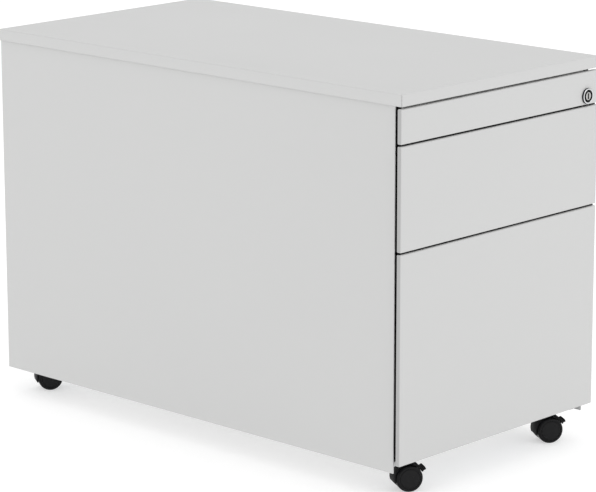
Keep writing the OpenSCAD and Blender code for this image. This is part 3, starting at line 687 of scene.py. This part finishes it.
ball_r = 1.15 * MM
ball_pitch = 14.0 * MM
ball_keep_out = 15.0 * MM
ball_end = 10.0 * MM
outer_balls = 8.2 * MM
inner_balls = 4.2 * MM
race = 2.5 * MM
rivet_r = 3.2 * MM
rivet_h = 0.9 * MM
bright_steel = finish("bright_steel", (0.55, 0.56, 0.58), (0.68, 0.69, 0.71), (0.15, 0.25),
                      metallic=1.0, blotch=200.0, grain=2500.0, bump=0.03)


def beads(centres, radii, rows=5, around=10):
    """Rounded bodies: rings of latitude from pole to pole, scaled by radii along X, Y and Z,
    repeated at every centre."""
    latitude = np.linspace(-math.pi / 2, math.pi / 2, rows + 2)[1:-1, None]
    longitude = np.linspace(0, 2 * math.pi, around, endpoint=False)[None, :]
    rings = np.stack([np.sin(latitude) + 0 * longitude, np.cos(latitude) * np.cos(longitude),
                      np.cos(latitude) * np.sin(longitude)], axis=-1)
    points, faces = loft(rings * np.asarray(radii))
    centres = np.asarray(centres, float)
    repeated = (centres[:, None] + points[None]).reshape(-1, 3)
    offsets = len(points) * np.arange(len(centres))
    return repeated, [[i + offset for i in face] for offset in offsets.tolist() for face in faces]


for drawer in ("box", "file"):
    low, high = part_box(drawer + "_slide_middles")
    inner_low, inner_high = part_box(drawer + "_slide_inners")
    middle = (low.y + high.y) / 2
    rows = (((low.z - race / 2, high.z + race / 2), tub_side + outer_balls,
             middle + ball_keep_out, high.y - ball_end),
            ((inner_low.z - race / 2, inner_high.z + race / 2), tub_side + inner_balls,
             low.y + ball_end, middle - ball_keep_out))
    spots = []
    for heights, reach, start, end in rows:
        along = np.arange(start, end, ball_pitch)
        grid = np.stack(np.meshgrid([-reach, reach], along, heights, indexing="ij"), axis=-1)
        spots.append(grid.reshape(-1, 3))
    piece(drawer + "_slide_balls", drawer + "_slide_middle", [],
          [beads(np.concatenate(spots), [ball_r] * 3)], bright_steel)

for drawer, body in slide_bodies.items():
    low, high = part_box(drawer + "_slide_inners")
    inside = tub_side - sheet
    height = (low.z + high.z) / 2
    first = 3 if drawer == "pencil" else 1
    along = np.linspace(low.y, high.y, 6)[first:-1]
    grid = np.stack(np.meshgrid([-inside, inside], along, [height], indexing="ij"), axis=-1)
    piece(drawer + "_slide_rivets", body, [],
          [beads(grid.reshape(-1, 3), (rivet_h, rivet_r, rivet_r), rows=7, around=24)], bright_steel)

# ---------------------------------------------------------------- lock
# A nickel-chrome plated barrel with a flat collar, held by a nut behind the front, and the plug
# that the key turns in it. Their walls carry a painted reflection: a dark colour for the shaded front.


def plated(name, bright, dark, rough):
    """Plated metal with a painted reflection: bright where it faces front or back, and painted
    dark on its walls for the shaded front that they would mirror."""
    metal = finish(name, tuple(0.9 * value for value in bright), bright, rough, metallic=1.0,
                   blotch=160.0, grain=3000.0, bump=0.04)
    return painted_light_and_shade_by_facing(metal, (0.0, 1.0, 0.0), 0.55, 0.97, dark, swap=True)


# Painted reflection: the dark colours are painted on the walls of the barrel and plug for the shaded
# front around them.
lock_chrome_painted_reflection = plated("lock_chrome_painted_reflection", (0.74, 0.75, 0.76), (0.045, 0.045, 0.05), (0.12, 0.24))
plug_nickel_painted_reflection = plated("plug_nickel_painted_reflection", (0.50, 0.50, 0.49), (0.20, 0.20, 0.20), (0.20, 0.34))
groove_depth = 2.8 * MM
groove_r = 9.0 * MM
barrel_r = 8.0 * MM
barrel_gap = 0.05 * MM


def turned(profile, place, axis, segments=64):
    """A lathe shape: a profile of (radius, distance along the axis) turned about the axis."""
    axis = np.asarray(axis, float) / np.linalg.norm(axis)
    side = np.cross(axis, [0, 0, 1.0]) if abs(axis[2]) < 0.9 else np.array([1.0, 0, 0])
    side = side / np.linalg.norm(side)
    other = np.cross(axis, side)
    angles = np.linspace(0, 2 * math.pi, segments, endpoint=False)
    ring = np.cos(angles)[:, None] * side + np.sin(angles)[:, None] * other
    radius, along = np.asarray(profile, float).T
    loops = place + radius[:, None, None] * ring[None] + along[:, None, None] * axis
    return loft(loops)


def turned_ring(profile, place, axis, segments=64):
    """A lathe shape whose profile closes on itself, such as a tube or a collar."""
    points, faces = turned(profile, place, axis, segments)
    last = (len(profile) - 1) * segments + np.arange(segments)
    first = np.arange(segments)
    bridge = np.stack([last, np.roll(last, -1), np.roll(first, -1), first], -1)
    return points, faces[:-2] + bridge.tolist()


low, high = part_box("lock_housing")
plug_low, plug_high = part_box("lock_plug")
collar_r = (high.x - low.x) / 2
bore_r = (plug_high.x - plug_low.x) / 2 + barrel_gap
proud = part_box("pencil_front")[0].y - low.y
length = high.y - low.y
profile = [(bore_r, length), (bore_r, groove_depth), (groove_r - 0.3 * MM, groove_depth),
           (groove_r, groove_depth - 0.3 * MM), (groove_r, 0.25 * MM), (groove_r + 0.35 * MM, 0.0),
           (collar_r - 1.2 * MM, 0.0), (collar_r - 0.55 * MM, 0.15 * MM),
           (collar_r - 0.15 * MM, 0.5 * MM), (collar_r, 1.0 * MM), (collar_r, proud),
           (barrel_r, proud), (barrel_r, length)]
place = np.array([(low.x + high.x) / 2, low.y, (low.z + high.z) / 2])
piece("lock_barrel", "pencil_drawer", ["lock_housing"],
      [turned_ring(profile, place, (0, 1, 0), 96)], lock_chrome_painted_reflection)
coat_nodes(["lock_plug"], plug_nickel_painted_reflection)

# ---------------------------------------------------------------- lock painted shade
# A black ring fills the floor of the collar's groove, and two black leaves close the keyway.
# Both are painted shade: dark pieces put where the groove and the keyway lie in shade.

ring_clear = 0.15 * MM
ring_round = 0.5 * MM
ring_shoulder = groove_depth - 0.25 * MM
ring_top = groove_depth - 0.5 * MM
ring_back = groove_depth + 0.3 * MM
ring_profile = [(groove_r - ring_clear, ring_back), (groove_r - ring_clear, ring_shoulder),
                (groove_r - ring_round, ring_top), (bore_r + ring_round, ring_top),
                (bore_r + ring_clear, ring_shoulder), (bore_r + ring_clear, ring_back)]
# Painted shade: a black ring on the floor of the groove.
piece("lock_groove_painted_shade", "pencil_drawer", [],
      [turned_ring(ring_profile, place, (0, 1, 0), 72)], black_plastic)

keyway_shade_half = 1.55 * MM
keyway_shade_reach = 4.1 * MM
keyway_shade_proud = 0.08 * MM
keyway_shade_thick = 0.5 * MM
leaf_gap = 0.12 * MM
left, right = place[0] - keyway_shade_half, place[0] + keyway_shade_half
start = plug_low.y - keyway_shade_proud
leaves = []
for bottom, top in ((-keyway_shade_reach, -leaf_gap), (leaf_gap, keyway_shade_reach)):
    corners = [(left, place[2] + bottom), (right, place[2] + bottom),
               (right, place[2] + top), (left, place[2] + top)]
    leaves.append(drawn_along(rounded(corners, 0.5 * MM), 1, start, start + keyway_shade_thick))
# Painted shade: two black leaves in the keyway.
piece("lock_keyway_painted_shade", "lock_plug_and_cam", [], leaves, black_plastic)

# ---------------------------------------------------------------- casters
# Twin-wheel casters of black nylon: a hood with a fender over the front of both wheels turns on
# a kingpin, each wheel turns by itself on the axle, and the front two have a brake pedal. The
# wheels' outer faces carry painted light: their colour is a little lighter than the treads'.

wheel_nylon_painted_light = finish("wheel_nylon_painted_light", (0.0025, 0.0025, 0.003), (0.005, 0.005, 0.0055), (0.26, 0.38),
                     blotch=60.0, grain=2500.0, bump=0.18, depth=0.00005, specular=0.14)
coat_nodes(["caster_plates", "caster_screws"], zinc)
joints = {joint["name"]: joint for joint in frame["joints"]}
axle_at_rest = tuple(joints["front_left_left_wheel_spin"]["axis"])
# Painted light: the wheels' faces along the axle get a lighter colour for the light they catch.
painted_light_and_shade_by_facing(wheel_nylon_painted_light, axle_at_rest, 0.93, 0.99, (0.0095, 0.0095, 0.010))
web_width = 9.0 * MM


def hood_section(half_width, thickness, radius):
    """Round-cornered section of the fender, as (radial, sideways) offsets."""
    corners = [(0, -half_width), (thickness, -half_width), (thickness, half_width), (0, half_width)]
    return rounded(corners, radius, 4)


def round_the_axle(section, start, end, inner, crown=0.0, steps=28):
    """A section of (radial, sideways) carried about the axle from one angle to another, in the
    caster's own frame: x behind, y along the axle, z up. crown rounds its edges off inwards."""
    angles = np.radians(np.linspace(start, end, steps))
    radial = inner + section[:, 0]
    sideways = section[:, 1]
    drop = crown * (np.abs(sideways) / np.abs(sideways).max()) ** 6
    radial = (radial - drop)[None, :] + np.zeros((steps, 1))
    return np.stack([radial * np.cos(angles)[:, None],
                     np.broadcast_to(sideways, radial.shape),
                     radial * np.sin(angles)[:, None]], axis=-1)


def plate_section(outline, half_width, edge):
    """An outline in x and z made into a plate across the axle, with its edges chamfered."""
    outline = np.asarray(outline, float)
    centre = outline.mean(0)
    shrink = 1 - edge / np.abs(outline - centre).max()
    inner = centre + (outline - centre) * shrink
    levels = ((inner, -half_width), (outline, -half_width + edge),
              (outline, half_width - edge), (inner, half_width))
    return np.stack([np.column_stack([flat[:, 0], np.full(len(flat), y), flat[:, 1]])
                     for flat, y in levels])


def arc_points(radius, start, end, steps=24):
    """Points on a circle about the axle, from one angle to another."""
    angles = np.radians(np.linspace(start, end, steps))
    return np.stack([np.cos(angles), np.sin(angles)], axis=1) * radius


wheel_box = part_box("rear_left_caster_left_wheel")
wheel_r = (wheel_box[1].z - wheel_box[0].z) / 2
hood_inner = wheel_r + 0.9 * MM
hood_thick = 1.8 * MM
fender_half = 12.6 * MM
fender_end = 197
wheel_in = web_width / 2 + 0.7 * MM
wheel_width = 11.0 * MM
tread_round = 3.4 * MM
neck_half = 7.0 * MM
neck_bottom = 4.0 * MM
neck_top = 22.0 * MM
wheel_out = wheel_in + wheel_width
web_inset = 2 * MM
boss_r = 11.0 * MM
boss_rim = 10.4 * MM
boss_foot = ((8.5 * MM, 38.6 * MM), (boss_rim, 39.4 * MM), (boss_r, 41.0 * MM))
boss_edge = 0.8 * MM
axle_r = 2.45 * MM
axle_end = wheel_out - 1.5 * MM
pedal_pivot = 62.0
pedal_gap = 8
ear_end = 80
ear_half = 1.5 * MM
ear_place = 14.2 * MM
pin_profile = ((1.6 * MM, 13.0 * MM), (2.0 * MM, 13.4 * MM),
               (2.0 * MM, 15.6 * MM), (1.6 * MM, 16.0 * MM))
pedal_inner = wheel_r + 1.6 * MM
pedal_thick = 2.0 * MM
pedal_half = 12.4 * MM
pedal_end = 23
toe_half = 9.0 * MM
toe_thick = 6.7 * MM
toe_inner = wheel_r + 2.0 * MM
toe_arc = (22, 30)
barrel_profile = ((1.1 * MM, -pedal_half), (2.0 * MM, -12.0 * MM),
                  (2.0 * MM, 12.0 * MM), (1.1 * MM, pedal_half))
up = np.array([0, 0, 1.0])

for corner in ("front_left", "front_right", "rear_left", "rear_right"):
    braked = corner.startswith("front")
    swivel = np.array(joints[corner + "_swivel"]["pos_m"])
    axle = np.array(joints[corner + "_left_wheel_spin"]["axis"])
    behind = np.array([axle[1], -axle[0], 0.0])
    axle_place = np.array(joints[corner + "_left_wheel_spin"]["pos_m"])
    trail = float((axle_place - swivel) @ behind)

    def placed(loops):
        """Loops in the caster's own frame about the axle, moved to where the caster stands."""
        x, y, z = np.moveaxis(np.asarray(loops, float), -1, 0)
        return loft(axle_place + x[..., None] * behind + y[..., None] * axle + z[..., None] * up)

    boss_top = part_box(corner + "_hood")[1].z
    fender = round_the_axle(hood_section(fender_half, hood_thick, 0.8 * MM), pedal_pivot + pedal_gap,
                            fender_end, hood_inner, crown=0.7 * MM)
    web = plate_section(arc_points(wheel_r - web_inset, 0, 360, 49)[:-1], web_width / 2, 0.6 * MM)
    neck_corners = [(-trail - neck_half, neck_bottom), (-trail + neck_half, neck_bottom),
                    (-trail + neck_half, neck_top), (-trail - neck_half, neck_top)]
    neck = plate_section(rounded(neck_corners, 1.0 * MM), web_width / 2, 0.4 * MM)
    boss_profile = [*boss_foot, (boss_r, boss_top - boss_edge), (boss_rim, boss_top)]
    parts = [placed(fender), placed(web), placed(neck), turned(boss_profile, swivel, up, 48),
             turned([(axle_r, -axle_end), (axle_r, axle_end)], axle_place, axle, 24)]
    if braked:
        hinge = np.array(joints[corner.split("_")[1] + "_brake_press"]["pos_m"])
        ear_outline = np.concatenate([arc_points(hood_inner + hood_thick, pedal_pivot, ear_end, 6),
                                      arc_points(hood_inner, ear_end, pedal_pivot, 6)])
        for side in (-1, 1):
            ear = plate_section(ear_outline, ear_half, 0.3 * MM)
            ear[..., 1] += side * ear_place
            parts.append(placed(ear))
            parts.append(turned(pin_profile, hinge, axle * side, 24))
    piece(corner + "_hood_moulding", corner + "_caster", [corner + "_hood"], parts,
          black_plastic)

    for side, hand in ((-1, "left"), (1, "right")):
        node = f"{corner}_caster_{hand}_wheel"
        r, w = wheel_r, wheel_width
        shoulder = [(r - tread_round * (1 - math.cos(a)), w - tread_round * (1 - math.sin(a)))
                    for a in np.radians(np.linspace(0, 90, 9))]
        profile = [(2.6 * MM, 1.0 * MM), (2.6 * MM, 0.0), (r - 1.0 * MM, 0.0),
                   (r - 0.3 * MM, 0.25 * MM), (r, 0.9 * MM)]
        profile += shoulder
        profile += [(r - 4.2 * MM, w - 0.05 * MM), (r - 4.5 * MM, w - 0.7 * MM),
                    (r - 4.9 * MM, w - 0.7 * MM), (r - 5.2 * MM, w - 0.15 * MM), (r - 5.8 * MM, w),
                    (5.4 * MM, w - 0.35 * MM), (4.6 * MM, w - 0.30 * MM),
                    (3.2 * MM, w - 0.08 * MM), (1.4 * MM, w), (0.3 * MM, w)]
        start = axle_place + axle * side * wheel_in
        piece(node + "_nylon", node + "_spin", [node],
              [turned(profile, start, axle * side, 72)], wheel_nylon_painted_light)

    if braked:
        hand = corner.split("_")[1]
        shoe = round_the_axle(hood_section(pedal_half, pedal_thick, 0.8 * MM), pedal_end, pedal_pivot,
                              pedal_inner, crown=0.4 * MM)
        toe = round_the_axle(hood_section(toe_half, toe_thick, 1.1 * MM), *toe_arc, toe_inner,
                             crown=0.6 * MM, steps=6)
        barrel = turned(barrel_profile, hinge, axle, 24)
        piece(hand + "_brake_pedal", hand + "_brake_lever", [hand + "_brake_lever"],
              [placed(shoe), placed(toe), barrel], black_plastic)
